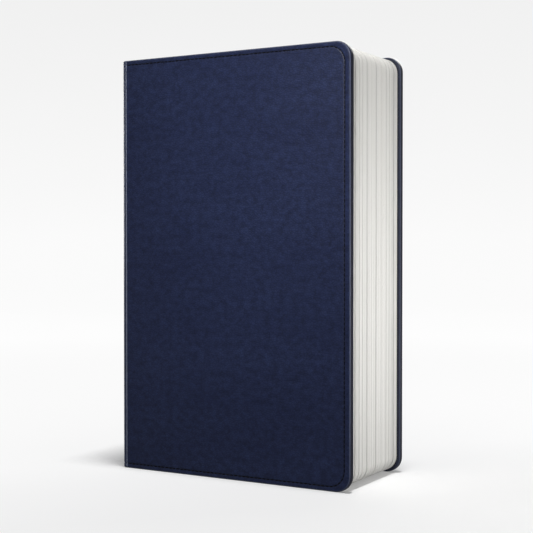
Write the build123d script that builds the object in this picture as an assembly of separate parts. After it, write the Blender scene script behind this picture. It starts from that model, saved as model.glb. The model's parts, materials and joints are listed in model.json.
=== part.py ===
from build123d import *
import os

# A thick upright book: a sewn block of paper in a flexible leather-grain cover with stitched edges.
# Frame: the book stands on its lower edges. +Z is up, +X runs from the spine to the fore-edge, -Y is the
# front cover's side and +Y the back cover's. The origin is in the middle of the footprint.

os.makedirs("parts", exist_ok=True)

# Outside sizes, in millimetres
BOOK_HEIGHT = 216.0
BOOK_WIDTH = 134.9
BOOK_THICKNESS = 62.7
COVER_THICKNESS = 3.6
COVER_CORNER_RADIUS = 8.0
COVER_EDGE_ROUNDING = 1.2
SPINE_FOLD_RADIUS = 2.8
SPINE_EDGE_ROUNDING = 0.6

# Cover build-up
SKIN = 1.0                  # the leather on the outer face
WRAP = 0.9                  # the leather where it goes round the board's edges
TURN_IN = 0.5               # the pared leather folded onto the inner face
TURN_IN_WIDTH = 13.0
TURN_IN_CORNER_RADIUS = 3.0
HINGE_X = 3.0               # from the spine's outer face to the line that a cover turns about
HINGE_STRIP = 4.0           # leather alone between the hinge line and the board
HINGE_GAP = 0.1             # between the spine's leather and a cover's, and outside the leather
PASTEDOWN = 0.2
PASTEDOWN_MARGIN = 5.0
PASTEDOWN_CORNER_RADIUS = 6.0
MULL_FLANGE = 0.15
MULL_FLANGE_WIDTH = 26.0

# Edge stitching
STITCH_HEAD_INSET = 2.5
STITCH_FORE_INSET = 3.2
STITCH_CORNER_RADIUS = 8.0
THREAD_WIDTH = 0.5
OUTER_THREAD = 0.35
INNER_THREAD = 0.2
THREAD_SUNK = 0.1
STITCH_START = 1.0          # from the hinge line

# Paper block
FORE_SQUARE = 1.8           # how far the covers stand out past the paper
HEAD_SQUARE = 0.8
LEAF_CORNER_RADIUS = 8.0
SECTIONS = 16
FLYLEAF = 0.3
LEAF_GAP = 0.05             # air between neighbouring pieces of paper
FOLD_ROUNDING = 1.2
TURNING_GAP = 0.1           # between the sewn part of a section and the part that turns
FLYLEAF_HINGE = 4.5         # from the sewn folds to the line that the flyleaf turns about
SECTION_HINGES = (5.0, 7.7, 9.9, 11.6, 13.0, 14.0, 14.6, 14.9)  # the same, from the cover inwards

# Spine build-up, each a thickness along X from the spine's outer face inwards
STIFFENER = 0.8
SPINE_TURN_IN = 0.8
SPINE_TURN_IN_WIDTH = 12.0
SPINE_HOLLOW = 0.2
LINING = 0.5
MULL = 0.2
SEWING_THREAD = 0.4
STIFFENER_SIDE_MARGIN = 3.5
LINING_END_MARGIN = 6.0
MULL_END_MARGIN = 14.0
KETTLE_STITCH_MARGIN = 20.0
THREAD_RUNS = 4
THREAD_RUN_SPACING = 4.0
BAND_FLANGE_HEIGHT = 10.0
BAND_RADIUS = 0.37
BAND_SIDE_MARGIN = 1.0

# Places worked out from the sizes
X_SPINE = -BOOK_WIDTH / 2
X_FORE = BOOK_WIDTH / 2
Y_FRONT = -BOOK_THICKNESS / 2
X_HINGE = X_SPINE + HINGE_X
X_BOARD = X_HINGE + HINGE_STRIP
X_PAPER = X_FORE - FORE_SQUARE
Z_TAIL = HEAD_SQUARE
Z_HEAD = BOOK_HEIGHT - HEAD_SQUARE
Y_INSIDE = Y_FRONT + COVER_THICKNESS
Y_FLYLEAF = Y_INSIDE + LEAF_GAP
Y_BLOCK = Y_FLYLEAF + FLYLEAF + LEAF_GAP
SECTION_PITCH = -2 * Y_BLOCK / SECTIONS
SECTION_THICKNESS = SECTION_PITCH - LEAF_GAP
X_STIFFENER = X_SPINE + SKIN
X_LINING = X_STIFFENER + STIFFENER + SPINE_TURN_IN + SPINE_HOLLOW
X_MULL = X_LINING + LINING
X_THREAD = X_MULL + MULL
X_FOLDS = X_THREAD + SEWING_THREAD


def box(x_low, x_high, y_low, y_high, z_low, z_high):
    """A box given by its lowest and highest corners."""
    middle = ((x_low + x_high) / 2, (y_low + y_high) / 2, (z_low + z_high) / 2)
    return Pos(*middle) * Box(x_high - x_low, y_high - y_low, z_high - z_low)


def sheet(x_spine, x_fore, y_low, y_high, z_low, z_high, radius):
    """A flat sheet, square at its spine side and rounded at its two fore-edge corners."""
    blank = box(x_spine, x_fore, y_low, y_high, z_low, z_high)
    corners = blank.edges().filter_by(Axis.Y).group_by(Axis.X)[-1]
    return fillet(corners, radius)


def cover_sheet(x_spine, margin, y_low, y_high, radius):
    """A sheet in the front cover, set in from the cover's three free edges by one margin."""
    y_pair = (Y_FRONT + y_low, Y_FRONT + y_high)
    return sheet(x_spine, X_FORE - margin, *y_pair, margin, BOOK_HEIGHT - margin, radius)


def round_free_edges(blank, radius):
    """Rounds the head, fore-edge and tail edges of a cover on both of its faces."""
    spine_side = blank.bounding_box().min.X
    faces = blank.faces().sort_by(Axis.Y)
    free_edges = []
    for face in (faces[0], faces[-1]):
        free_edges += [e for e in face.edges() if e.center().X > spine_side + radius / 2]
    return fillet(free_edges, radius)


def stitch_band(width, y_low, y_high):
    """The line of thread round a cover's three free edges, open at the spine side."""
    lines = []
    for side in (-width / 2, width / 2):
        fore = X_FORE - STITCH_FORE_INSET - side
        tail = STITCH_HEAD_INSET + side
        y_pair = (Y_FRONT + y_low, Y_FRONT + y_high)
        radius = STITCH_CORNER_RADIUS - side
        lines.append(sheet(X_HINGE + STITCH_START, fore, *y_pair, tail, BOOK_HEIGHT - tail, radius))
    return lines[0] - lines[1]


def cover_pieces():
    """The front cover's pieces by name, without the side's own prefix."""
    inner = COVER_THICKNESS
    under_turn_in = inner - TURN_IN
    under_pastedown = inner - PASTEDOWN
    pocket = cover_sheet(X_BOARD, WRAP, SKIN, under_turn_in, COVER_CORNER_RADIUS - WRAP)
    window = cover_sheet(X_BOARD, TURN_IN_WIDTH, under_turn_in, under_pastedown, TURN_IN_CORNER_RADIUS)
    pastedown = cover_sheet(X_BOARD, PASTEDOWN_MARGIN, under_pastedown, inner, PASTEDOWN_CORNER_RADIUS)
    mull_flange = box(
        X_BOARD,
        X_BOARD + MULL_FLANGE_WIDTH,
        Y_FRONT + under_pastedown - MULL_FLANGE,
        Y_FRONT + under_pastedown,
        MULL_END_MARGIN,
        BOOK_HEIGHT - MULL_END_MARGIN,
    )
    outer_thread = stitch_band(THREAD_WIDTH, THREAD_SUNK, THREAD_SUNK + OUTER_THREAD)
    inner_thread = stitch_band(THREAD_WIDTH, inner - THREAD_SUNK - INNER_THREAD, inner - THREAD_SUNK)
    outer_groove = stitch_band(THREAD_WIDTH, -THREAD_SUNK, THREAD_SUNK + OUTER_THREAD)
    inner_groove = stitch_band(THREAD_WIDTH, inner - THREAD_SUNK - INNER_THREAD, inner + THREAD_SUNK)
    hinge_relief = box(
        X_HINGE, X_BOARD, Y_FRONT + SKIN, Y_INSIDE + SKIN, -SKIN, BOOK_HEIGHT + SKIN
    )

    blank = cover_sheet(X_HINGE + HINGE_GAP, 0, 0, inner, COVER_CORNER_RADIUS)
    skin = round_free_edges(blank, COVER_EDGE_ROUNDING)
    for hollow in (pocket, window, pastedown, outer_groove, inner_groove, hinge_relief):
        skin -= hollow
    return {
        "cover_skin": skin,
        "board": pocket + window - mull_flange,
        "edge_stitching": Compound([*outer_thread.solids(), *inner_thread.solids()]),
        "mull_flange": mull_flange,
        "pastedown": pastedown,
    }


def spine_skin():
    """The leather round the spine, folded in over the stiffener at its head and tail."""
    blank = box(X_SPINE, X_HINGE, Y_FRONT, -Y_FRONT, 0, BOOK_HEIGHT)
    folds = blank.edges().filter_by(Axis.Z).group_by(Axis.X)[0]
    outside = fillet(folds, SPINE_FOLD_RADIUS)
    ends = outside.faces().sort_by(Axis.Z)
    rims = []
    for face in (ends[0], ends[-1]):
        rims += [e for e in face.edges() if e.center().X < X_HINGE - SPINE_EDGE_ROUNDING / 2]
    outside = fillet(rims, SPINE_EDGE_ROUNDING)

    y_wall = Y_FRONT + SKIN
    hollow = box(X_STIFFENER, X_HINGE + SKIN, y_wall, -y_wall, -SKIN, BOOK_HEIGHT + SKIN)
    inner_folds = hollow.edges().filter_by(Axis.Z).group_by(Axis.X)[0]
    skin = outside - fillet(inner_folds, SPINE_FOLD_RADIUS - SKIN)

    x_end = X_STIFFENER + STIFFENER + SPINE_TURN_IN
    y_end = Y_FRONT + STIFFENER_SIDE_MARGIN
    for z_low in (0, BOOK_HEIGHT - SPINE_TURN_IN_WIDTH):
        skin += box(X_STIFFENER, x_end, y_end, -y_end, z_low, z_low + SPINE_TURN_IN_WIDTH)
    return skin - spine_stiffener()


def spine_stiffener():
    """The flexible card that keeps the spine flat."""
    y_side = Y_FRONT + STIFFENER_SIDE_MARGIN
    return box(X_STIFFENER, X_STIFFENER + STIFFENER, y_side, -y_side, WRAP, BOOK_HEIGHT - WRAP)


def spine_sheet(x_low, thickness, end_margin):
    """A strip glued across the whole spine of the paper block."""
    return box(x_low, x_low + thickness, Y_BLOCK, -Y_BLOCK, end_margin, BOOK_HEIGHT - end_margin)


def end_band(up):
    """The rolled band at the head of the spine, or at its tail, on its glued cloth flange."""
    y_side = Y_BLOCK + BAND_SIDE_MARGIN
    z_rim = Z_HEAD if up else Z_TAIL
    outward = 1 if up else -1
    z_bead = z_rim + outward * (BAND_RADIUS + LEAF_GAP / 2)
    z_low, z_high = sorted((z_bead, z_rim - outward * BAND_FLANGE_HEIGHT))
    flange = box(X_THREAD, X_FOLDS, y_side, -y_side, z_low, z_high)
    core = Rotation(90, 0, 0) * Cylinder(BAND_RADIUS, -2 * y_side)
    return flange + Pos(X_FOLDS, 0, z_bead) * core


def section_y(index):
    """The front face of a section, counted from 0 at the front cover."""
    return Y_BLOCK + index * SECTION_PITCH + LEAF_GAP / 2


def section_hinge(index):
    """Where a section starts to turn: a little farther from the spine towards the block's middle."""
    from_cover = min(index, SECTIONS - 1 - index)
    return X_FOLDS + SECTION_HINGES[from_cover]


def sewn_fold(index):
    """The part of a section that the sewing and glue hold, with its rounded folded edge."""
    y_low = section_y(index)
    y_high = y_low + SECTION_THICKNESS
    blank = box(X_FOLDS, section_hinge(index) - TURNING_GAP, y_low, y_high, Z_TAIL, Z_HEAD)
    folded_edge = blank.edges().filter_by(Axis.Z).group_by(Axis.X)[0]
    return fillet(folded_edge, FOLD_ROUNDING)


def section(index):
    """The part of a section's leaves that turns."""
    y_low = section_y(index)
    y_high = y_low + SECTION_THICKNESS
    return sheet(section_hinge(index), X_PAPER, y_low, y_high, Z_TAIL, Z_HEAD, LEAF_CORNER_RADIUS)


def sewing_thread():
    """Thread runs along each section's fold, and the kettle stitches that tie the sections together."""
    z_first = KETTLE_STITCH_MARGIN
    z_last = BOOK_HEIGHT - KETTLE_STITCH_MARGIN
    run_pitch = (z_last - z_first) / THREAD_RUNS
    half = SEWING_THREAD / 2
    pieces = []
    for z_kettle in (z_first, z_last):
        y_first = section_y(0) + SECTION_THICKNESS / 2
        pieces.append(box(X_THREAD, X_FOLDS, y_first, -y_first, z_kettle - half, z_kettle + half))
    for index in range(SECTIONS):
        y_fold = section_y(index) + SECTION_THICKNESS / 2
        for run in range(THREAD_RUNS):
            z_low = z_first + run * run_pitch + THREAD_RUN_SPACING / 2
            z_high = z_low + run_pitch - THREAD_RUN_SPACING
            pieces.append(box(X_THREAD, X_FOLDS, y_fold - half, y_fold + half, z_low, z_high))
    return Compound(pieces)


def flyleaf():
    """The part of the front flyleaf that turns."""
    x_turn = X_FOLDS + FLYLEAF_HINGE
    y_pair = (Y_FLYLEAF, Y_FLYLEAF + FLYLEAF)
    return sheet(x_turn, X_PAPER, *y_pair, Z_TAIL, Z_HEAD, LEAF_CORNER_RADIUS)


def endpaper_strip():
    """The edge of the front endpaper that is glued to the first section beside its fold."""
    x_turn = X_FOLDS + FLYLEAF_HINGE - TURNING_GAP
    return box(X_FOLDS, x_turn, Y_FLYLEAF, Y_FLYLEAF + FLYLEAF, Z_TAIL, Z_HEAD)


def other_side(shape):
    """The same piece on the back cover's side."""
    return mirror(shape, about=Plane.XZ)


pieces = {
    "spine_skin": spine_skin(),
    "spine_stiffener": spine_stiffener(),
    "spine_lining": spine_sheet(X_LINING, LINING, LINING_END_MARGIN),
    "spine_mull": spine_sheet(X_MULL, MULL, MULL_END_MARGIN),
    "sewing_thread": sewing_thread(),
    "headband": end_band(up=True),
    "tailband": end_band(up=False),
    "sewn_section_folds": Compound([sewn_fold(i) for i in range(SECTIONS)]),
    "endpaper_hinge_strips": Compound([endpaper_strip(), other_side(endpaper_strip())]),
    "front_flyleaf": flyleaf(),
    "back_flyleaf": other_side(flyleaf()),
}
for name, piece in cover_pieces().items():
    pieces[f"front_{name}"] = piece
    pieces[f"back_{name}"] = other_side(piece)
for number in range(1, SECTIONS + 1):
    pieces[f"section_{number:02d}"] = section(number - 1)

for name, piece in pieces.items():
    export_step(piece, f"parts/{name}.step")
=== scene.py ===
"""A thick upright logbook: navy imitation leather with stitched edges round a sewn block of paper.

Everything is in metres. The book stands on z = 0, +X runs from the spine to the fore-edge and -Y is the
front cover's side. The leather is built as a flat sheet and then bent into place round the spine.
"""
import json
import math
import random

import bpy
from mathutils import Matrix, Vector


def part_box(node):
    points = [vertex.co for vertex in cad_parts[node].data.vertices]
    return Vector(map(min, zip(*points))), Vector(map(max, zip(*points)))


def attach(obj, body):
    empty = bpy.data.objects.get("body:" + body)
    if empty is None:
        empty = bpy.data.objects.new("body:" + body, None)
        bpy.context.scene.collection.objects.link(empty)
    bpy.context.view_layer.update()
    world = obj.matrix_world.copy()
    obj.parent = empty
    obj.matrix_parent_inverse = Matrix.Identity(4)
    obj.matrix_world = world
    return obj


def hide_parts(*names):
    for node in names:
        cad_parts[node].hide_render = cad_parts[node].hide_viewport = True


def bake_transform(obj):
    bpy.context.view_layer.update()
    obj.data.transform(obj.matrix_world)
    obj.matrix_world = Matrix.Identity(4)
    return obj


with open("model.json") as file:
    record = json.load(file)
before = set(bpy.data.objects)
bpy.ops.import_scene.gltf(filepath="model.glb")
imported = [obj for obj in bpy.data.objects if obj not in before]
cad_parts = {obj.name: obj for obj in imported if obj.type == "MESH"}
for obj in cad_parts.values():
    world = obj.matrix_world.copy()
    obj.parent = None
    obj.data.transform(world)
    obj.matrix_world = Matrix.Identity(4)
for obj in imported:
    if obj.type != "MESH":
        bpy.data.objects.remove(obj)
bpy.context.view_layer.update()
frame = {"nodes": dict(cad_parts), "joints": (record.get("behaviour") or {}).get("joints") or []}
MM = 0.001

# Places read from the frame
SPINE_LOW, SPINE_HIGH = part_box("spine_skin")
COVER_LOW, COVER_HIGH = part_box("front_cover_skin")
BOARD_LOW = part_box("front_board")[0]
PASTEDOWN_LOW, PASTEDOWN_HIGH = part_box("front_pastedown")
FOLDS_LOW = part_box("sewn_section_folds")[0]
FLYLEAF_LOW, FLYLEAF_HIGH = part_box("front_flyleaf")
X_SPINE, X_HINGE = SPINE_LOW.x, SPINE_HIGH.x
X_FORE, X_PAPER = COVER_HIGH.x, FLYLEAF_HIGH.x
Y_FRONT, Y_INSIDE = COVER_LOW.y, COVER_HIGH.y
HEIGHT = COVER_HIGH.z
X_BOARD = BOARD_LOW.x
X_FOLDS = FOLDS_LOW.x
Z_TAIL, Z_HEAD = FLYLEAF_LOW.z, FLYLEAF_HIGH.z
JOINTS = {joint["name"]: joint for joint in frame["joints"]}
ROOT = "spine_and_sewing"
SIDES = {"front": 1, "back": -1}
SECTIONS = 16

# Cover
FOLD_RADIUS = 2.8 * MM
COVER_RADIUS = 8.0 * MM
EDGE_ROUNDING = 0.85 * MM
INNER_ROUNDING = 0.35 * MM
BEAD_HEIGHT = 0.13 * MM
BEAD_HALF = 0.5 * MM
# how strongly the painted highlight lightens the bead's crest and the back cover's inner rim
BEAD_HIGHLIGHT, BACK_RIM_HIGHLIGHT = 3.3, 1.1
SKIN = 1.0 * MM
TURN_IN = 0.5 * MM
TURN_IN_WIDTH = 13.0 * MM
TURN_IN_RADIUS = 1.0 * MM
PARED_HEIGHT = 0.15 * MM
PARED_WIDTH = 0.1 * MM
POCKET_INSET = 2.0 * MM
POCKET_ROUNDING = 0.05 * MM
SPINE_THICKNESS = 2.6 * MM
HINGE_THICKNESS = 1.7 * MM
BOARD_THICKNESS = Y_INSIDE - Y_FRONT
SPINE_TO_HINGE = 2.0 * MM  # how long the change between two thicknesses is
HINGE_TO_BOARD = 0.8 * MM
CORNER_REACH = 15.0 * MM  # how far from the fore-edge and from each end the rounded corner's faces go
CORNER_STEPS = 12
CORNER_POINTS = CORNER_STEPS + 3  # with two points before the arc and one after it
COVER_ROWS = 8
HALF_SPINE = -Y_FRONT - FOLD_RADIUS
FOLD_LENGTH = math.pi / 2 * FOLD_RADIUS
U_FLAT = HALF_SPINE + FOLD_LENGTH
U_FORE = U_FLAT + X_FORE - X_SPINE - FOLD_RADIUS
U_BEAD = U_FLAT + 0.45 * MM
MIDDLE_RING = (6.5 * MM, 4.5 * MM)  # inset and corner radius of a ring of vertices inside the stitching
NEAR_RING = (4.0 * MM, 6.3 * MM)

# Stitching
STITCH_INSET = 2.5 * MM
STITCH_FORE_EXTRA = 0.7 * MM
STITCH_RADIUS = 8.0 * MM
STITCH_PITCH = 2.35 * MM
STITCH_LENGTH = 1.95 * MM
STITCH_THREAD = 0.25 * MM
STITCH_WIDE, STITCH_FLAT = 1.15, 0.8  # the thread's section is this much wider and flatter than round
STITCH_SUNK = 0.05 * MM
STITCH_END_DIP = 0.28 * MM
STITCH_STEPS = 8  # round the thread and along one stitch
STITCH_SEEDS = {"front": 5, "back": 6}
GROOVE_DEPTH = 0.16 * MM
GROOVE_HALF = 0.6 * MM
OUTER_GROOVE = (  # millimetres inwards from the stitching's line, and the share of the groove's depth there
    (0.55, 0.0), (0.32, 0.45), (0.14, 0.95), (-0.14, 0.95), (-0.32, 0.45), (-0.55, 0.0),
)
INNER_GROOVE = ((-0.45, 0.0), (-0.14, -0.7), (0.14, -0.7), (0.45, 0.0))

# Paper
LEAF_RADIUS = 8.0 * MM
LEAVES_PER_SECTION = 24
LEAF_FILL = 0.9  # how much of its share of the section a leaf fills
FOLD_DEPTH = 1.3 * MM
PAPER_START = X_FOLDS + 0.3 * MM
PASTEDOWN_RADIUS = 6.0 * MM
PASTEDOWN_PROUD = 0.01 * MM
PASTEDOWN_BEND = (X_SPINE + 4.1 * MM, X_SPINE + 7.4 * MM)
FLYLEAF_CLEARANCE = 0.04 * MM
LEAF_BEND_LENGTH = 1.2 * MM
EDGE_LINES = (  # darker lines down the fore-edge, where leaves lie back and painted shade darkens them: millimetres from the front cover's face, and strength
    (9.1, 0.9), (13.6, 0.6), (17.4, 0.35), (22.8, 0.8), (28.0, 0.3),
    (33.4, 0.9), (39.4, 0.3), (45.6, 0.7), (49.3, 0.5), (55.0, 0.9),
)

# Blank table on the pages
TABLE_X = (X_FOLDS + 24 * MM, X_PAPER - 9 * MM)
TABLE_Z = (Z_TAIL + 14 * MM, Z_HEAD - 18 * MM)
TABLE_COLUMN, TABLE_ROW = 14 * MM, 7 * MM
RULE_WIDTH = 0.22 * MM
RULE_STRENGTH = 0.55

# End bands
BAND_RADIUS = 0.36 * MM
BAND_TURN = 0.75 * MM
BAND_WAIST = 0.16
BAND_STRIPE = 1.5 * MM

# Stage, lights and camera
STAGE_FLAT, STAGE_BEND, STAGE_WALL, STAGE_TOP = 1.6, 1.4, 3.0, 3.2
STAGE_AROUND, STAGE_BEND_STEPS = 48, 10
WORLD_STRENGTH = 0.2
FLOOR_LIGHT = ("above_floor", (0.20, -0.12, 2.2), (0.20, -0.12, 0), (0.32, 0.32), 35)
BOOK_LIGHTS = (  # name, place, what it points at, size, watts, and the grid's spread in degrees
    ("key", (0.09, -0.34, 0.35), (0.035, Y_FRONT, 0.17), (0.20, 0.20), 0.193, 60),
    ("right_soft", (0.36, 0.02, 0.078), (X_FORE, 0.02, 0.088), (0.14, 0.12), 0.152, 78),
    ("left_strip", (-0.62, -0.17, 0.14), (X_SPINE, Y_FRONT, 0.11), (0.04, 0.4), 0.03, 60),
    ("back_key", (-0.05, 0.42, 0.34), (0, -Y_FRONT, 0.15), (0.25, 0.25), 0.22, 70),
    ("spine_soft", (-0.45, 0.10, 0.20), (X_SPINE, 0, 0.12), (0.2, 0.2), 0.12, 60),
    ("top_soft", (0.0, 0.0, 0.9), (0, 0, HEIGHT), (0.4, 0.4), 1.3),
)
CAMERA_PLACE = (0.31009, -0.53338, 0.11976)
CAMERA_AZIMUTH, CAMERA_PITCH = math.radians(29.896), math.radians(1.16)
CAMERA_LENS, CAMERA_SENSOR = 79.15, 36.0


# ---------------------------------------------------------------- meshes


def new_object(name, vertices, faces, material, sharp_angle=40):
    """A mesh object with smooth shading that stays sharp at its real edges."""
    mesh = bpy.data.meshes.new(name)
    mesh.from_pydata([tuple(v) for v in vertices], [], faces)
    mesh.validate()
    mesh.materials.append(material)
    mesh.polygons.foreach_set("use_smooth", [True] * len(mesh.polygons))
    mesh.set_sharp_from_angle(angle=math.radians(sharp_angle))
    piece = bpy.data.objects.new(name, mesh)
    bpy.context.scene.collection.objects.link(piece)
    return piece


def store(piece, name, kind, values):
    """Keeps one value for each vertex, for the material to read wherever the mesh bends to."""
    attribute = piece.data.attributes.new(name, kind, "POINT")
    if kind == "FLOAT_VECTOR":
        attribute.data.foreach_set("vector", [c for v in values for c in v])
    else:
        attribute.data.foreach_set("value", values)


def smooth(t):
    """0 below 0, 1 above 1, and an even S-curve between."""
    t = min(1.0, max(0.0, t))
    return t * t * (3 - 2 * t)


def spread(low, high, count):
    """count + 1 evenly spaced numbers from low to high."""
    return [low + (high - low) * i / count for i in range(count + 1)]


def turned_over(faces):
    """The same faces seen from their other side."""
    return [tuple(reversed(face)) for face in faces]


def tube_faces(first, steps, around):
    """The faces of a closed tube of steps + 1 rings, each of around vertices, starting at vertex first."""
    faces = []
    for i in range(steps):
        for k in range(around):
            a, b = first + i * around + k, first + i * around + (k + 1) % around
            faces.append((a, b, b + around, a + around))
    faces.append(tuple(first + k for k in reversed(range(around))))
    faces.append(tuple(first + steps * around + k for k in range(around)))
    return faces


# ---------------------------------------------------------------- cover leather


def u_at(x):
    """How far along the cover's outer face a place on its flat part is, from the spine's middle."""
    return U_FLAT + x - X_SPINE - FOLD_RADIUS


def bell(t):
    """1 at 0, falling smoothly to 0 at -1 and 1."""
    return (0.5 + 0.5 * math.cos(math.pi * t)) if abs(t) < 1 else 0.0


def near(distance, reach):
    """1 up to half of reach, falling smoothly to 0 at one and a half times reach."""
    return smooth(1.5 - distance / reach)


def cover_point(u, depth, z, side):
    """Bends the flat leather into place: u runs from the spine's middle round the fold to the fore-edge.

    The outer face carries a fine pressed bead where the fold meets the cover.
    """
    depth -= BEAD_HEIGHT * bell((u - U_BEAD) / BEAD_HALF) * max(0.0, 1 - depth / SKIN)
    if u <= HALF_SPINE:
        x, y = X_SPINE + depth, -u
    elif u < U_FLAT:
        angle = (u - HALF_SPINE) / FOLD_RADIUS
        reach = FOLD_RADIUS - depth
        x = X_SPINE + FOLD_RADIUS - reach * math.cos(angle)
        y = Y_FRONT + FOLD_RADIUS - reach * math.sin(angle)
    else:
        x, y = X_SPINE + FOLD_RADIUS + u - U_FLAT, Y_FRONT + depth
    return (x, y * side, z)


def thickness(u):
    """From the outer face to the inner face of the cover's turned edge."""
    to_hinge = smooth((u - HALF_SPINE + SPINE_TO_HINGE) / SPINE_TO_HINGE)
    to_board = smooth((u - u_at(X_BOARD) + HINGE_TO_BOARD) / HINGE_TO_BOARD)
    thin = SPINE_THICKNESS + (HINGE_THICKNESS - SPINE_THICKNESS) * to_hinge
    return thin + (BOARD_THICKNESS - thin) * to_board


def cover_profile():
    """The turned edge's section as (inset, depth, fore extra, corner radius), outer face first.

    Inset and depth are functions of u, because the cover is thinner at the hinge than over the board.
    """
    rings = []

    def rounding(u, largest=EDGE_ROUNDING):
        return min(largest, thickness(u) / 2)

    def flat(inset, depth, radius, extra=0.0, inner=False):
        base = thickness if inner else lambda u: 0.0
        rings.append((lambda u: inset, lambda u: base(u) + depth, extra, radius))

    def groove(shape, inner):
        for offset, share in shape:
            inset, radius = STITCH_INSET + offset * MM, STITCH_RADIUS - offset * MM
            flat(inset, GROOVE_DEPTH * share, radius, STITCH_FORE_EXTRA, inner)

    before_rim = EDGE_ROUNDING + 0.25 * MM
    flat(TURN_IN_WIDTH, 0, TURN_IN_RADIUS)
    flat(MIDDLE_RING[0], 0, MIDDLE_RING[1])
    flat(NEAR_RING[0], 0, NEAR_RING[1], STITCH_FORE_EXTRA / 2)
    groove(OUTER_GROOVE, False)
    flat(before_rim, 0, COVER_RADIUS - before_rim)
    for angle in spread(0, math.pi / 2, 6):
        rings.append((
            lambda u, a=angle: rounding(u) * (1 - math.sin(a)),
            lambda u, a=angle: rounding(u) * (1 - math.cos(a)),
            0.0,
            COVER_RADIUS - EDGE_ROUNDING * (1 - math.sin(angle)),
        ))
    for angle in spread(0, math.pi / 2, 4):
        rings.append((
            lambda u, a=angle: rounding(u, INNER_ROUNDING) * (1 - math.cos(a)),
            lambda u, a=angle: thickness(u) - rounding(u, INNER_ROUNDING) * (1 - math.sin(a)),
            0.0,
            COVER_RADIUS - INNER_ROUNDING * (1 - math.cos(angle)),
        ))
    groove(INNER_GROOVE, True)
    flat(MIDDLE_RING[0], 0, MIDDLE_RING[1], 0, True)
    flat(TURN_IN_WIDTH, 0, TURN_IN_RADIUS, 0, True)
    flat(TURN_IN_WIDTH + PARED_WIDTH, -PARED_HEIGHT, TURN_IN_RADIUS, 0, True)
    flat(TURN_IN_WIDTH, -TURN_IN, TURN_IN_RADIUS, 0, True)
    flat(POCKET_INSET, -TURN_IN, COVER_RADIUS - POCKET_INSET, 0, True)
    flat(SKIN, -TURN_IN - POCKET_ROUNDING, COVER_RADIUS - SKIN, 0, True)
    flat(SKIN, SKIN + POCKET_ROUNDING, COVER_RADIUS - SKIN)
    flat(POCKET_INSET, SKIN, COVER_RADIUS - POCKET_INSET)
    flat(TURN_IN_WIDTH, SKIN, TURN_IN_RADIUS)
    return rings


def cover_columns():
    """Where the leather has lines of vertices between the spine's middle and the fore-edge corners."""
    stretches = (  # where a stretch of leather ends, and how many strips it has
        (HALF_SPINE - SPINE_TO_HINGE, 4),
        (HALF_SPINE, 4),
        (U_BEAD - BEAD_HALF, 8),
        (U_BEAD + BEAD_HALF, 12),
        (u_at(X_BOARD) + 1 * MM, 22),
        (U_FORE - CORNER_REACH, 10),
    )
    columns, start = [0.0], 0.0
    for end, strips in stretches:
        columns += spread(start, end, strips)[1:]
        start = end
    return columns


def ring_points(inset, depth, extra, radius, columns, rows):
    """One line round the cover's three free edges, as (u, depth, z)."""
    tail_inset = inset(U_FORE)
    fore = U_FORE - tail_inset - extra
    fore_depth = depth(U_FORE)
    centre_u, centre_z = fore - radius, tail_inset + radius
    start = U_FORE - CORNER_REACH
    corner = [(start + (centre_u - start) * t, tail_inset) for t in (0.5, 1.0)]
    for angle in spread(0, math.pi / 2, CORNER_STEPS)[1:]:
        corner.append((centre_u + radius * math.sin(angle), centre_z - radius * math.cos(angle)))
    corner.append((fore, (centre_z + CORNER_REACH) / 2))
    points = [(u, depth(u), inset(u)) for u in columns]
    points += [(u, fore_depth, z) for u, z in corner]
    points += [(fore, fore_depth, z) for z in rows]
    points += [(u, fore_depth, HEIGHT - z) for u, z in reversed(corner)]
    points += [(u, depth(u), HEIGHT - inset(u)) for u in reversed(columns)]
    return points


def sheet_with_turned_edge(columns, rows, rings):
    """A closed sheet from nested rings.

    Faces join the rings, a grid fills the first and the last ring, and the spine's end is closed.
    """
    vertices, faces, loops = [], [], []
    for ring in rings:
        points = ring_points(*ring, columns, rows)
        loops.append(range(len(vertices), len(vertices) + len(points)))
        vertices += points
    count = len(loops[0])
    for a, b in zip(loops, loops[1:]):
        faces += [(a[i], a[i + 1], b[i + 1], b[i]) for i in range(count - 1)]
    outer, outer_faces = fill_ring(vertices, loops[0], rings[0][1], columns, rows)
    inner, inner_faces = fill_ring(vertices, loops[-1], rings[-1][1], columns, rows)
    faces += outer_faces + turned_over(inner_faces)
    faces += [(outer[j + 1], outer[j], inner[j], inner[j + 1]) for j in range(len(outer) - 1)]
    faces.append(tuple(loop[0] for loop in loops))
    faces.append(tuple(loop[count - 1] for loop in reversed(loops)))
    return vertices, faces


def fill_ring(vertices, loop, depth, columns, rows):
    """Adds a grid of vertices inside a ring; gives its spine-side line and the faces that fill the ring."""
    last_column, last_row = len(columns) - 1, len(rows) - 1
    fore_first = last_column + CORNER_POINTS + 1
    from_end = len(loop) - 1
    grid = []
    for z in rows:
        grid.append([len(vertices) + i for i in range(len(columns))])
        vertices += [(u, depth(u), z) for u in columns]
    tail_line = [loop[i] for i in range(len(columns))]
    head_line = [loop[from_end - i] for i in range(len(columns))]
    lines = [tail_line, *grid, head_line]
    faces = []
    for low, high in zip(lines, lines[1:]):
        faces += [(low[i], high[i], high[i + 1], low[i + 1]) for i in range(last_column)]
    for j in range(last_row):
        fore_low, fore_high = loop[fore_first + j], loop[fore_first + j + 1]
        faces.append((grid[j][-1], grid[j + 1][-1], fore_high, fore_low))
    tail_corner = loop[last_column:fore_first + 1]
    head_corner = loop[fore_first + last_row:from_end - last_column + 1]
    faces.append((*reversed(tail_corner), grid[0][-1]))
    faces.append((*reversed(head_corner), grid[-1][-1]))
    return [line[0] for line in lines], faces


def edge_distance(u, z):
    """How far a place on the flat leather is from the nearest of the cover's three free edges."""
    inside = min(z, HEIGHT - z, U_FORE - u)
    across, along = COVER_RADIUS - (U_FORE - u), COVER_RADIUS - min(z, HEIGHT - z)
    if across > 0 and along > 0:
        return COVER_RADIUS - math.hypot(across, along)
    return inside


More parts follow.
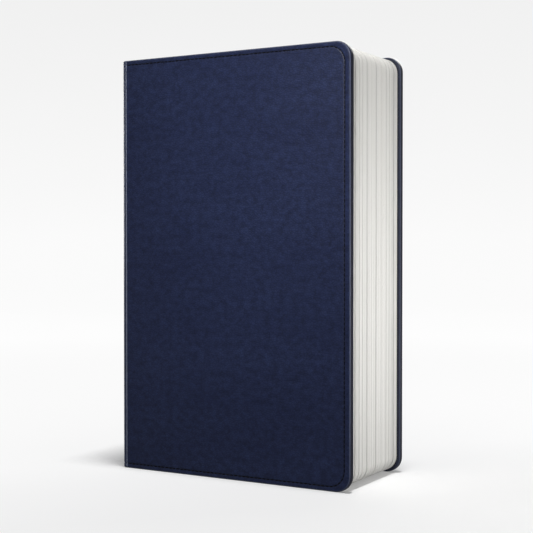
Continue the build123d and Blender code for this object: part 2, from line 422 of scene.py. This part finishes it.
def worn(u, depth, z, side):
    """Painted highlight: lighter colour on the bead's crest and on one rim of each cover.

    The front cover's highlight is painted on its outer rim, and the back cover's on its inner one.
    """
    edge, rim_depth = edge_distance(u, z), 0.4 * MM
    if side > 0:
        rim_highlight = bell((edge - 0.3 * MM) / (0.45 * MM)) * near(depth, rim_depth)
    else:
        rim_highlight = BACK_RIM_HIGHLIGHT * bell((edge - 0.15 * MM) / (0.4 * MM))
        rim_highlight *= near(thickness(u) - depth, rim_depth)
    bead = BEAD_HIGHLIGHT * bell((u - U_BEAD) / (0.46 * MM)) if depth < SKIN / 2 else 0.0
    return max(rim_highlight, bead)


def burnt(u, depth, z):
    """Painted shade: darker colour on the turned edge's flat and on the turned-in margin."""
    edge, from_inner = edge_distance(u, z), thickness(u) - depth
    flat = smooth((depth - 0.25 * MM) / (0.4 * MM)) * smooth((from_inner - 0.1 * MM) / (0.3 * MM))
    margin = near(from_inner, 0.2 * MM) * smooth(edge / (0.6 * MM))
    return max(smooth(1.3 - edge / (0.3 * MM)) * flat, margin)


def pressed(u, depth, z):
    """The groove that the stitching has pulled into either face, where painted shade darkens the leather.
    """
    start, face = u_at(X_HINGE) + 0.6 * MM, 0.3 * MM
    if u < start or face < depth < thickness(u) - face:
        return 0.0
    return bell(stitch_distance(u, z) / GROOVE_HALF)


def stitch_distance(u, z):
    """How far a place on the flat leather is from the stitching's line."""
    fore = U_FORE - STITCH_INSET - STITCH_FORE_EXTRA
    from_end = min(z, HEIGHT - z)
    across, along = u - (fore - STITCH_RADIUS), STITCH_INSET + STITCH_RADIUS - from_end
    if across > 0 and along > 0:
        return STITCH_RADIUS - math.hypot(across, along)
    return min(from_end - STITCH_INSET, fore - u)


def cover_leather(side_name, material):
    """Half of the cover's leather, from the middle of the spine to one fore-edge."""
    side = SIDES[side_name]
    rows = spread(CORNER_REACH, HEIGHT - CORNER_REACH, COVER_ROWS)
    flat_points, faces = sheet_with_turned_edge(cover_columns(), rows, cover_profile())
    if side > 0:
        faces = turned_over(faces)
    vertices = [cover_point(*point, side) for point in flat_points]
    piece = new_object(f"{side_name}_cover_leather", vertices, faces, material, 50)
    store(piece, "sheet", "FLOAT_VECTOR", [(u * side, depth, z) for u, depth, z in flat_points])
    # mask of the painted highlight on the bead's crest and the covers' rims
    store(piece, "worn", "FLOAT", [worn(*point, side) for point in flat_points])
    # mask of the painted shade on the turned edge's flat and the turned-in margin
    store(piece, "burnt", "FLOAT", [burnt(*point) for point in flat_points])
    # mask of the painted shade in the stitching's groove
    store(piece, "pressed", "FLOAT", [pressed(*point) for point in flat_points])
    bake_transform(piece)
    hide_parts(f"{side_name}_cover_skin", "spine_skin")
    return piece


# ---------------------------------------------------------------- stitching


def stitch_line():
    """The stitches' middles as (u, z, du, dz), at even steps along a cover's three free edges."""
    start = u_at(X_HINGE) + 1.0 * MM
    fore = U_FORE - STITCH_INSET - STITCH_FORE_EXTRA
    centre_u, centre_z = fore - STITCH_RADIUS, STITCH_INSET + STITCH_RADIUS
    run = centre_u - start
    arc = math.pi / 2 * STITCH_RADIUS
    rise = HEIGHT - 2 * centre_z
    total = 2 * run + 2 * arc + rise

    def at(s):
        if s < run:
            return start + s, STITCH_INSET, 1, 0
        if s < run + arc:
            angle = (s - run) / STITCH_RADIUS
            du, dz = math.cos(angle), math.sin(angle)
            return centre_u + STITCH_RADIUS * dz, centre_z - STITCH_RADIUS * du, du, dz
        if s < run + arc + rise:
            return fore, centre_z + s - run - arc, 0, 1
        u, z, du, dz = at(total - s)
        return u, HEIGHT - z, -du, dz

    count = round(total / STITCH_PITCH)
    return [at(total * (i + 0.5) / count) for i in range(count)]


def stitching(side_name, material):
    """Every stitch of one cover, on its outer face and on its turned-in leather, as short sunk threads."""
    side = SIDES[side_name]
    vertices, faces, strands = [], [], []
    rng = random.Random(STITCH_SEEDS[side_name])
    for face_depth, inward in ((STITCH_SUNK, 1), (BOARD_THICKNESS - STITCH_SUNK, -1)):
        for u, z, du, dz in stitch_line():
            faces += tube_faces(len(vertices), STITCH_STEPS, STITCH_STEPS)
            slant = rng.uniform(-0.03, 0.03)
            half = STITCH_LENGTH / 2 * rng.uniform(0.95, 1.04)
            for t in spread(-1, 1, STITCH_STEPS):
                radius = STITCH_THREAD * max(0.12, (1 - abs(t) ** 3.2)) ** 0.5
                sunk = face_depth + inward * STITCH_END_DIP * abs(t) ** 3
                for k in range(STITCH_STEPS):
                    angle = 2 * math.pi * k / STITCH_STEPS
                    across = radius * STITCH_WIDE * math.cos(angle) + slant * half * t
                    depth = sunk + radius * STITCH_FLAT * math.sin(angle)
                    place = (u + du * half * t - dz * across, depth, z + dz * half * t + du * across)
                    vertices.append(cover_point(*place, side))
                    strands.append((half * t, angle * radius, 0.0))
    if side > 0:
        faces = turned_over(faces)
    piece = new_object(f"{side_name}_edge_stitches", vertices, faces, material, 70)
    store(piece, "strand", "FLOAT_VECTOR", strands)
    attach(piece, f"{side_name}_cover")
    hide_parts(f"{side_name}_edge_stitching")
    return piece


# ---------------------------------------------------------------- paper


def paper_outline(columns, x_fore, z_low, z_high, radius):
    """A leaf's outline as (x, z): the tail edge, the rounded fore-edge and the head edge."""
    arc = []
    for angle in spread(0, math.pi / 2, 8):
        arc.append((x_fore - radius * (1 - math.sin(angle)), radius * (1 - math.cos(angle))))
    outline = [(x, z_low) for x in columns]
    outline += [(x, z_low + inset) for x, inset in arc]
    outline += [(x, z_high - inset) for x, inset in reversed(arc)]
    outline += [(x, z_high) for x in reversed(columns)]
    return outline


def add_leaf(vertices, faces, columns, x_fore, y_pair, z_pair, radius):
    """Adds one closed leaf of paper, with a strip of faces between each pair of columns."""
    outline = paper_outline(columns, x_fore, *z_pair, radius)
    count, strips = len(outline), len(columns) - 1
    first = len(vertices)
    for y in y_pair:
        vertices.extend((x, y, z) for x, z in outline)
    for layer in (0, 1):
        base = first + layer * count
        made = []
        for i in range(strips):
            made.append((base + i, base + i + 1, base + count - 2 - i, base + count - 1 - i))
        made.append(tuple(base + i for i in range(strips, count - strips)))
        faces.extend(made if layer == 0 else turned_over(made))
    for i in range(count):
        j = (i + 1) % count
        faces.append((first + j, first + i, first + count + i, first + count + j))


def leaf_columns(x_first, x_turn):
    """Columns of a leaf that is fixed at x_first, bends at x_turn and is flat from there on."""
    columns = [x_first] + spread(x_turn, x_turn + LEAF_BEND_LENGTH, 8)
    columns += spread(x_turn + 4 * MM, X_PAPER - LEAF_RADIUS - 1.5 * MM, 3)
    return columns


def endpaper(side_name, material):
    """The pasted half of an endpaper: it crosses the hinge from the block's shoulder to the board."""
    side = SIDES[side_name]
    columns = [PAPER_START] + spread(*PASTEDOWN_BEND, 20)
    columns += spread(PASTEDOWN_BEND[1] + 5 * MM, PASTEDOWN_HIGH.x - 8 * MM, 3)
    y_pair = (PASTEDOWN_LOW.y, PASTEDOWN_HIGH.y + PASTEDOWN_PROUD)
    z_pair = (PASTEDOWN_LOW.z, PASTEDOWN_HIGH.z)
    vertices, faces = [], []
    add_leaf(vertices, faces, columns, PASTEDOWN_HIGH.x, y_pair, z_pair, PASTEDOWN_RADIUS)
    piece = finish_paper(f"{side_name}_endpaper", vertices, faces, material, side)
    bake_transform(piece)
    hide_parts(f"{side_name}_pastedown")
    return piece


def finish_paper(name, vertices, faces, material, side):
    """Mirrors a front-side paper mesh when it belongs to the back, and keeps its flat coordinates."""
    if side < 0:
        vertices = [(x, -y, z) for x, y, z in vertices]
        faces = turned_over(faces)
    piece = new_object(name, vertices, faces, material, 30)
    store(piece, "rest", "FLOAT_VECTOR", vertices)
    return piece


def flyleaf(side_name, material):
    """The free leaf of an endpaper, tipped to the block beside its fold."""
    side = SIDES[side_name]
    x_turn = JOINTS[f"{side_name}_flyleaf_turn"]["pos_m"][0]
    y_pair = (FLYLEAF_LOW.y + FLYLEAF_CLEARANCE, FLYLEAF_HIGH.y - FLYLEAF_CLEARANCE)
    vertices, faces = [], []
    columns = leaf_columns(PAPER_START, x_turn)
    add_leaf(vertices, faces, columns, X_PAPER, y_pair, (Z_TAIL, Z_HEAD), LEAF_RADIUS)
    piece = finish_paper(f"{side_name}_free_endpaper", vertices, faces, material, side)
    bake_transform(piece)
    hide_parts(f"{side_name}_flyleaf", "endpaper_hinge_strips")
    return piece


def edge_line(from_front):
    """How strongly a leaf belongs to one of the darker lines, from 0 to 1."""
    half_width = 0.5
    strengths = []
    for place, strength in EDGE_LINES:
        strengths.append(strength * math.exp(-((from_front - place) / half_width) ** 2))
    return max(strengths)


def edge_recess(from_front, rng):
    """How far a leaf's edge lies back from the trimmed face: a little unevenly, more in a dark line."""
    wave = 0.05 * math.sin(from_front * 0.9) + 0.04 * math.sin(from_front * 2.3 + 1)
    return (0.12 + wave + 0.45 * edge_line(from_front) + rng.uniform(0, 0.06)) * MM


def leaf_tone_and_shade(from_front, rng):
    """How grey a leaf is: a little at random, plus painted shade that is more towards both covers and most
    in a dark line.
    """
    tone = rng.uniform(0.0, 0.18)
    tone += 0.12 * smooth((13 - from_front) / 6)
    tone += 0.25 * smooth((from_front - 46) / 9)
    tone += 0.55 * edge_line(from_front)
    return min(1.0, tone)


def section(number, material):
    """One sewn section as its separate leaves, fixed at the fold and bending beside it."""
    name = f"section_{number:02d}"
    low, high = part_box(name)
    x_turn = JOINTS[f"{name}_turn"]["pos_m"][0]
    rng = random.Random(number)
    pitch = (high.y - low.y) / LEAVES_PER_SECTION
    fold_middle, fold_half = (low.y + high.y) / 2, (high.y - low.y) / 2
    vertices, faces, tones_and_shades = [], [], []
    for index in range(LEAVES_PER_SECTION):
        y_low = low.y + (index + (1 - LEAF_FILL) / 2) * pitch
        y_pair = (y_low, y_low + LEAF_FILL * pitch)
        y = sum(y_pair) / 2
        from_middle, from_front = (y - fold_middle) / fold_half, (y - Y_FRONT) / MM
        x_first = X_FOLDS + FOLD_DEPTH * (1 - math.sqrt(1 - from_middle ** 2))
        x_fore = X_PAPER - edge_recess(from_front, rng)
        rise = rng.uniform(0, 0.05) * MM
        z_pair = (Z_TAIL + rise, Z_HEAD - rise)
        before = len(vertices)
        add_leaf(vertices, faces, leaf_columns(x_first, x_turn), x_fore, y_pair, z_pair, LEAF_RADIUS)
        tones_and_shades += [leaf_tone_and_shade(from_front, rng)] * (len(vertices) - before)
    piece = finish_paper(f"{name}_leaves", vertices, faces, material, 1)
    # the leaf's tone: grey at random, with painted shade towards both covers and in the fore-edge's dark
    # lines
    store(piece, "tone", "FLOAT", tones_and_shades)
    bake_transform(piece)
    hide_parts(name, "sewn_section_folds")
    return piece


def end_band(node, material):
    """A worked band: coloured thread wound over a core, across the end of the spine."""
    low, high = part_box(node)
    z = high.z - BAND_RADIUS if node == "headband" else low.z + BAND_RADIUS
    x = high.x - BAND_RADIUS
    turns = round((high.y - low.y) / BAND_TURN)
    around, steps = 12, turns * 6
    vertices = []
    for i, y in enumerate(spread(low.y, high.y, steps)):
        waist = BAND_WAIST * (0.5 - 0.5 * math.cos(2 * math.pi * turns * i / steps)) ** 2
        rounded_end = min(1.0, min(i, steps - i) / 2 + 0.4)
        reach = BAND_RADIUS * (1 - waist) * rounded_end
        for k in range(around):
            angle = 2 * math.pi * k / around
            vertices.append((x + reach * math.cos(angle), y, z + reach * math.sin(angle)))
    faces = [(face[0], *reversed(face[1:])) for face in tube_faces(0, steps, around)]
    piece = new_object(f"{node}_worked", vertices, faces, material, 60)
    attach(piece, ROOT)
    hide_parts(node)
    return piece


# ---------------------------------------------------------------- materials


class Nodes:
    """A short way to write a material's nodes."""

    def __init__(self, name, roughness, specular):
        self.material = bpy.data.materials.new(name)
        self.material.use_nodes = True
        self.tree = self.material.node_tree
        self.shader = self.tree.nodes["Principled BSDF"]
        self.shader.inputs["Roughness"].default_value = roughness
        self.shader.inputs["Specular IOR Level"].default_value = specular

    def add(self, kind, inputs=None, **settings):
        node = self.tree.nodes.new("ShaderNode" + kind)
        for name, value in settings.items():
            setattr(node, name, value)
        for name, value in (inputs or {}).items():
            self.put(node.inputs[name], value)
        return node

    def put(self, socket, value):
        if isinstance(value, bpy.types.NodeSocket):
            self.tree.links.new(value, socket)
        else:
            socket.default_value = value

    def attribute(self, name):
        return self.add("Attribute", attribute_name=name)

    def position(self):
        """Object coordinates, for pieces that don't bend."""
        return self.add("TexCoord").outputs["Object"]

    def stretched(self, vector, scale):
        return self.add("Mapping", {"Vector": vector, "Scale": scale}).outputs["Vector"]

    def noise(self, vector, scale, detail=3.0, roughness=0.5):
        inputs = {"Vector": vector, "Scale": scale, "Detail": detail, "Roughness": roughness}
        return self.add("TexNoise", inputs).outputs["Fac"]

    def math(self, operation, a, b=0.0):
        return self.add("Math", {0: a, 1: b}, operation=operation).outputs[0]

    def ramp(self, value, low, high, to_low=0.0, to_high=1.0, kind="LINEAR"):
        inputs = {"Value": value, "From Min": low, "From Max": high, "To Min": to_low, "To Max": to_high}
        return self.add("MapRange", inputs, interpolation_type=kind).outputs["Result"]

    def mix(self, share, a, b):
        node = self.add("Mix", data_type="RGBA")
        self.put(node.inputs["Factor"], share)
        self.put(node.inputs["A"], a)
        self.put(node.inputs["B"], b)
        return node.outputs["Result"]

    def bump(self, height, distance, strength):
        inputs = {"Height": height, "Distance": distance, "Strength": strength}
        return self.add("Bump", inputs).outputs["Normal"]

    def finish(self, colour=None, roughness=None, normal=None):
        for socket, value in (("Base Color", colour), ("Roughness", roughness), ("Normal", normal)):
            if value is not None:
                self.put(self.shader.inputs[socket], value)
        return self.material


def rgb(red, green, blue):
    return (red, green, blue, 1.0)


def leather_material():
    """Navy imitation leather: pebbled grain, faint sideways mottling, painted highlights on crests and
    rims, and painted shade on the turned edges and in the stitching's grooves.
    """
    m = Nodes("navy_leather", 0.5, 0.18)
    m.shader.inputs["Coat Weight"].default_value = 0.25
    m.shader.inputs["Coat Roughness"].default_value = 0.3
    sheet = m.attribute("sheet").outputs["Vector"]
    highlight_share = m.attribute("worn").outputs["Fac"]
    edge_shade_share = m.attribute("burnt").outputs["Fac"]
    groove_shade_share = m.attribute("pressed").outputs["Fac"]
    grain_space = m.stretched(sheet, (0.85, 1, 1.1))
    warp = m.add("TexNoise", {"Vector": grain_space, "Scale": 500.0, "Detail": 2.0}).outputs["Color"]
    bent = m.add("VectorMath", {0: warp, "Scale": 0.0009}, operation="SCALE").outputs["Vector"]
    warped = m.add("VectorMath", {0: grain_space, 1: bent}, operation="ADD").outputs["Vector"]
    cells = m.add("TexVoronoi", {"Vector": warped, "Scale": 780.0}, feature="DISTANCE_TO_EDGE")
    pebbles = m.ramp(cells.outputs["Distance"], 0.0, 0.25)
    creases = m.noise(grain_space, 300.0, 4.0, 0.6)
    fine = m.noise(sheet, 3200.0, 2.0)
    wide = m.noise(m.stretched(sheet, (0.45, 1, 1.6)), 26.0, 4.0, 0.55)
    streak = m.noise(m.stretched(sheet, (0.3, 1, 2.4)), 170.0, 3.0, 0.6)
    colour = m.mix(m.ramp(wide, 0.32, 0.68), rgb(0.0126, 0.0212, 0.0725), rgb(0.0192, 0.0312, 0.0955))
    colour = m.mix(m.ramp(streak, 0.35, 0.7, 0.0, 0.45), colour, rgb(0.0240, 0.0370, 0.1050))
    colour = m.mix(m.ramp(creases, 0.36, 0.64, 0.65, 0.0), colour, rgb(0.0055, 0.0090, 0.0360))
    colour = m.mix(m.ramp(pebbles, 0.0, 0.6, 0.5, 0.0), colour, rgb(0.0040, 0.0055, 0.0180))
    # painted highlight on the bead's crest and the covers' rims
    colour = m.mix(m.math("MULTIPLY", highlight_share, 0.35), colour, rgb(0.190, 0.215, 0.290))
    # painted shade in the stitching's groove
    colour = m.mix(m.math("MULTIPLY", groove_shade_share, 0.8), colour, rgb(0.0035, 0.0045, 0.0120))
    # painted shade on the turned edge's flat and the turned-in margin
    colour = m.mix(m.math("MULTIPLY", edge_shade_share, 0.85), colour, rgb(0.0030, 0.0035, 0.0090))
    polish = m.math("ADD", m.math("MULTIPLY", wide, 0.6), m.math("MULTIPLY", creases, 0.4))
    rough = m.ramp(polish, 0.3, 0.7, 0.44, 0.56)
    height = m.math("ADD", m.math("MULTIPLY", pebbles, 0.6), m.math("MULTIPLY", creases, 0.9))
    height = m.math("ADD", height, m.math("MULTIPLY", fine, 0.15))
    normal = m.bump(height, 0.00018, 0.6)
    return m.finish(colour, rough, normal)


def thread_material():
    """Near-black twisted polyester thread."""
    m = Nodes("cover_thread", 0.6, 0.12)
    strand = m.attribute("strand").outputs["Vector"]
    twist_inputs = {"Vector": strand, "Scale": 900.0, "Distortion": 1.0}
    twist = m.add("TexWave", twist_inputs, bands_direction="DIAGONAL").outputs["Fac"]
    fuzz = m.noise(strand, 6000.0)
    colour = m.mix(twist, rgb(0.0020, 0.0022, 0.0040), rgb(0.0060, 0.0070, 0.0130))
    height = m.math("ADD", twist, m.math("MULTIPLY", fuzz, 0.3))
    return m.finish(colour, None, m.bump(height, 0.00008, 0.7))


def page_material():
    """White uncoated paper, with a faint ruled table on its faces, leaves a little greyer at random, and
    painted shade near both covers and in the fore-edge's dark lines.
    """
    m = Nodes("page_paper", 0.8, 0.2)
    rest = m.attribute("rest").outputs["Vector"]
    tone = m.attribute("tone").outputs["Fac"]
    fibre = m.noise(rest, 900.0, 4.0, 0.6)
    wide = m.noise(m.stretched(rest, (1, 1, 0.12)), 60.0, 3.0)
    # random grey and painted shade, from the leaf's tone
    colour = m.mix(tone, rgb(0.88, 0.87, 0.84), rgb(0.50, 0.495, 0.48))
    colour = m.mix(m.ramp(wide, 0.3, 0.7, 0.0, 0.10), colour, rgb(0.80, 0.77, 0.70))
    colour = m.mix(m.ramp(fibre, 0.4, 0.8, 0.0, 0.08), colour, rgb(0.65, 0.63, 0.58))
    colour = m.mix(ruled_lines(m, rest), colour, rgb(0.36, 0.44, 0.52))
    return m.finish(colour, None, m.bump(fibre, 0.00003, 0.4))


def ruled_lines(m, rest):
    """Thin rules of a blank record table, inside margins, as a mask."""
    parts = m.add("SeparateXYZ", {0: rest})
    x, z = parts.outputs["X"], parts.outputs["Z"]

    def rules(value, start, pitch):
        offset = m.math("ADD", m.math("SUBTRACT", value, start), 100 * pitch)
        return m.math("LESS_THAN", m.math("MODULO", offset, pitch), RULE_WIDTH)

    def between(value, low, high):
        return m.math("MULTIPLY", m.math("GREATER_THAN", value, low), m.math("LESS_THAN", value, high))

    lines = m.math("MAXIMUM", rules(z, TABLE_Z[0], TABLE_ROW), rules(x, TABLE_X[0], TABLE_COLUMN))
    area = m.math("MULTIPLY", between(x, *TABLE_X), between(z, *TABLE_Z))
    return m.math("MULTIPLY", m.math("MULTIPLY", lines, area), RULE_STRENGTH)


def endpaper_material():
    """Cream endpaper, a little heavier and warmer than the pages."""
    m = Nodes("cream_endpaper", 0.75, 0.2)
    rest = m.attribute("rest").outputs["Vector"]
    fibre = m.noise(rest, 700.0, 4.0, 0.6)
    cloud = m.noise(rest, 40.0, 3.0)
    colour = m.mix(m.ramp(cloud, 0.3, 0.7), rgb(0.80, 0.78, 0.69), rgb(0.76, 0.74, 0.65))
    colour = m.mix(m.ramp(fibre, 0.45, 0.8, 0.0, 0.18), colour, rgb(0.62, 0.58, 0.48))
    return m.finish(colour, None, m.bump(fibre, 0.00004, 0.5))


def band_material():
    """Striped thread wound over the end bands, alternately navy and white."""
    m = Nodes("end_band_thread", 0.6, 0.3)
    position = m.position()
    parts = m.add("SeparateXYZ", {0: position})
    phase = m.math("MODULO", m.math("ADD", parts.outputs["Y"], 1.0), 2 * BAND_STRIPE)
    stripe = m.math("GREATER_THAN", phase, BAND_STRIPE)
    strand = m.noise(m.stretched(position, (0.3, 4, 0.3)), 3000.0, 2.0)
    colour = m.mix(stripe, rgb(0.74, 0.73, 0.69), rgb(0.020, 0.028, 0.085))
    colour = m.mix(m.ramp(strand, 0.4, 0.7, 0.0, 0.3), colour, rgb(0.25, 0.25, 0.26))
    return m.finish(colour, None, m.bump(strand, 0.00006, 0.6))


def sheet_material(name, light, dark, scale, roughness, weave=0.0):
    """Board, card, kraft paper, gauze or sewing thread: a fibrous or woven two-tone surface."""
    m = Nodes(name, roughness, 0.25)
    position = m.position()
    fibre = m.noise(position, scale, 5.0, 0.65)
    flecks = m.noise(m.stretched(position, (1, 1, 0.4)), scale * 0.2, 2.0)
    colour = m.mix(m.ramp(fibre, 0.3, 0.7), rgb(*dark), rgb(*light))
    colour = m.mix(m.ramp(flecks, 0.5, 0.75, 0.0, 0.3), colour, rgb(*dark))
    height = fibre
    if weave:
        parts = m.add("SeparateXYZ", {0: position})
        warp = m.math("SINE", m.math("MULTIPLY", parts.outputs["Z"], weave))
        weft = m.math("SINE", m.math("MULTIPLY", parts.outputs["Y"], weave))
        height = m.math("ADD", fibre, m.math("ADD", warp, weft))
    return m.finish(colour, None, m.bump(height, 0.00005, 0.6))


def paint_cad_nodes():
    """Gives each CAD piece that is shown as it is a material of its own kind."""
    board = sheet_material("grey_board", (0.36, 0.31, 0.25), (0.24, 0.20, 0.16), 500.0, 0.85)
    card = sheet_material("spine_card", (0.45, 0.39, 0.31), (0.33, 0.28, 0.22), 600.0, 0.8)
    kraft = sheet_material("kraft_paper", (0.42, 0.28, 0.16), (0.30, 0.19, 0.10), 800.0, 0.75)
    gauze = sheet_material("mull_gauze", (0.80, 0.77, 0.69), (0.62, 0.59, 0.50), 900.0, 0.85, 4500.0)
    thread = sheet_material("sewing_thread", (0.84, 0.81, 0.72), (0.66, 0.62, 0.52), 2500.0, 0.6)
    painted = (
        (board, ("front_board", "back_board")),
        (card, ("spine_stiffener",)),
        (kraft, ("spine_lining",)),
        (gauze, ("spine_mull", "front_mull_flange", "back_mull_flange")),
        (thread, ("sewing_thread",)),
    )
    for material, nodes in painted:
        for node in nodes:
            for slot in frame["nodes"][node].material_slots:
                slot.material = material


# ---------------------------------------------------------------- stage, light and camera


def stage_material():
    """White floor near the book, with painted shade making it a little greyer at its front and far off,
    passing into a backdrop that glows with its own emission.
    """
    m = Nodes("stage_white", 0.9, 0.0)
    position = m.position()
    cloud = m.noise(position, 2.0, 2.0)
    reach = m.add("VectorMath", {0: position}, operation="LENGTH").outputs["Value"]
    towards_front = {0: position, 1: (0.75, -0.66, 0)}
    front = m.add("VectorMath", towards_front, operation="DOT_PRODUCT").outputs["Value"]
    away = m.ramp(reach, 0.15, 0.9, kind="SMOOTHSTEP")
    colour = m.mix(away, rgb(0.75, 0.75, 0.75), rgb(0.10, 0.10, 0.10))
    colour = m.mix(m.ramp(cloud, 0.3, 0.7, 0.0, 0.04), colour, rgb(0.5, 0.5, 0.5))
    top_shade = m.ramp(reach, 2.2, 3.2, 0.0, 0.09)
    front_shade = m.math("MULTIPLY", m.ramp(front, -0.04, 0.09, 0.0, 0.09), m.math("SUBTRACT", 1.0, away))
    glow = m.ramp(reach, 0.08, 0.92, 0.27, 0.915, "SMOOTHSTEP")
    glow = m.math("SUBTRACT", m.math("SUBTRACT", glow, top_shade), front_shade)
    m.shader.inputs["Emission Color"].default_value = rgb(1, 1, 1)
    m.put(m.shader.inputs["Emission Strength"], glow)
    return m.finish(colour)


def stage():
    """A pale floor that rises into a wall all round, so that no horizon shows from any side."""
    profile = []
    for angle in spread(0, math.pi / 2, STAGE_BEND_STEPS):
        profile.append((STAGE_FLAT + STAGE_BEND * math.sin(angle), STAGE_BEND * (1 - math.cos(angle))))
    profile.append((STAGE_WALL, STAGE_TOP))
    around = STAGE_AROUND
    vertices = [(0.0, 0.0, 0.0)]
    for reach, z in profile:
        for k in range(around):
            angle = 2 * math.pi * k / around
            vertices.append((reach * math.cos(angle), reach * math.sin(angle), z))
    faces = [(0, 1 + k, 1 + (k + 1) % around) for k in range(around)]
    for i in range(len(profile) - 1):
        for k in range(around):
            a, b = 1 + i * around + k, 1 + i * around + (k + 1) % around
            faces.append((a, a + around, b + around, b))
    floor = new_object("pale_stage", vertices, faces, stage_material(), 80)
    floor.visible_diffuse = False
    floor.visible_glossy = False
    floor.visible_shadow = False
    return floor


def area_light(name, place, aim, size, power, spread_degrees=180):
    """A softbox; a spread under 180 degrees is a grid in front of it."""
    light = bpy.data.lights.new(name, "AREA")
    light.shape = "RECTANGLE"
    light.size, light.size_y = size
    light.energy = power
    light.spread = math.radians(spread_degrees)
    lamp = bpy.data.objects.new(name, light)
    lamp.location = place
    lamp.visible_camera = False
    lamp.rotation_mode = "QUATERNION"
    lamp.rotation_quaternion = (Vector(aim) - Vector(place)).to_track_quat("-Z", "Y")
    bpy.context.scene.collection.objects.link(lamp)
    return lamp


def receivers(name, floor, state):
    """What a light falls on: only the floor, or everything but the floor."""
    collection = bpy.data.collections.new(name)
    collection.objects.link(floor)
    collection.collection_objects[0].light_linking.link_state = state
    return collection


def light_scene(floor):
    """One light makes the shadows on the floor; the others light only the book."""
    world = bpy.data.worlds.new("studio")
    world.use_nodes = True
    background = world.node_tree.nodes["Background"]
    background.inputs["Color"].default_value = (1.0, 1.0, 1.0, 1.0)
    background.inputs["Strength"].default_value = WORLD_STRENGTH
    scene = bpy.context.scene
    scene.world = world
    scene.view_settings.view_transform = "Standard"
    scene.view_settings.look = "None"
    above = area_light(*FLOOR_LIGHT)
    above.light_linking.receiver_collection = receivers("floor_only", floor, "INCLUDE")
    off_the_floor = receivers("off_the_floor", floor, "EXCLUDE")
    for values in BOOK_LIGHTS:
        lamp = area_light(*values)
        lamp.light_linking.receiver_collection = off_the_floor


def place_camera():
    """Just above the height of the book's middle, turned about 30 degrees towards the fore-edge."""
    data = bpy.data.cameras.new("camera")
    data.sensor_width = CAMERA_SENSOR
    data.lens = CAMERA_LENS
    data.clip_start = 0.01
    camera = bpy.data.objects.new("camera", data)
    camera.location = CAMERA_PLACE
    forward = Vector((
        -math.sin(CAMERA_AZIMUTH) * math.cos(CAMERA_PITCH),
        math.cos(CAMERA_AZIMUTH) * math.cos(CAMERA_PITCH),
        -math.sin(CAMERA_PITCH),
    ))
    camera.rotation_mode = "QUATERNION"
    camera.rotation_quaternion = forward.to_track_quat("-Z", "Y")
    bpy.context.scene.collection.objects.link(camera)
    bpy.context.scene.camera = camera


# ---------------------------------------------------------------- the book


leather = leather_material()
thread = thread_material()
page = page_material()
cream = endpaper_material()
band = band_material()
for side_name in SIDES:
    cover_leather(side_name, leather)
    stitching(side_name, thread)
    endpaper(side_name, cream)
    flyleaf(side_name, cream)
for number in range(1, SECTIONS + 1):
    section(number, page)
for node in ("headband", "tailband"):
    end_band(node, band)
paint_cad_nodes()
light_scene(stage())
place_camera()
